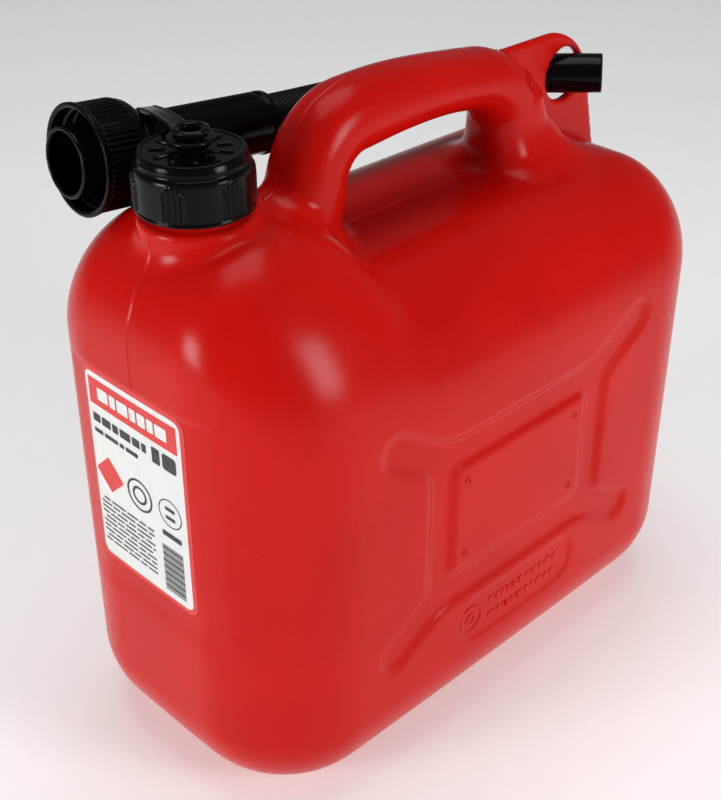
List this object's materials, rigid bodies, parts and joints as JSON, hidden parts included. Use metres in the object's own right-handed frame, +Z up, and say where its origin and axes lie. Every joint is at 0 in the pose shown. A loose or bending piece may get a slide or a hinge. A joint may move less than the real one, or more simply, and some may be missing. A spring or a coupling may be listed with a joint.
{
  "type": "jerry can",
  "caption": "Blow-moulded plastic jerry can with a hollow grip handle, a tethered screw cap and a flexible pouring spout stowed through a rear ear.",
  "frame": {"origin": "centre of the flat underside of the can", "axes": "+X towards the rear, where the ear is; the neck and the label are at -X; +Y towards the side where the spout is stowed; +Z up"},
  "size_m": [0.3163, 0.165, 0.3136],
  "materials": {
    "red_shell": "semi-matte saturated red polyethylene with a fine grain",
    "label_film": "printed white film, low gloss",
    "black_moulding": "semi-gloss black injection-moulded plastic",
    "black_hose": "satin black corrugated soft plastic",
    "seal_rubber": "matte dark rubber"
  },
  "bodies": {
    "can": {"can_body": "red_shell", "label": "label_film", "spout_base": "black_moulding", "spout_gasket": "seal_rubber", "spout_hose": "black_hose", "spout_tip": "black_moulding", "tether_ring": "black_moulding"},
    "seal": {"cap_seal": "seal_rubber"},
    "cap": {"cap": "black_moulding"},
    "tether": {"tether_band": "black_moulding"},
    "collar": {"spout_collar": "black_moulding"}
  },
  "joints": [
    {"name": "cap_lift", "type": "slide", "parent": "can", "child": "seal", "axis": [0, 0, 1], "range_m": [0, 0.006]},
    {"name": "cap_turn", "type": "hinge", "parent": "seal", "child": "cap", "pos_m": [-0.118, 0, 0.293], "axis": [0, 0, 1], "range_deg": [0, 720]},
    {"name": "tether_flex", "type": "hinge", "parent": "can", "child": "tether", "pos_m": [-0.10256, 0.045, 0.3036], "axis": [-0.9458, 0.3247, 0], "range_deg": [0, 7.4]},
    {"name": "collar_spin", "type": "hinge", "parent": "can", "child": "collar", "pos_m": [-0.1359, 0.055, 0.2886], "axis": [0.9957, -0.05, -0.0775], "continuous": true}
  ],
  "couplings": [
    {"joint": "cap_lift", "follows": "cap_turn", "m_per_rad": 0.00047746},
    {"joint": "tether_flex", "follows": "cap_turn", "ratio": 0.01015}
  ]
}
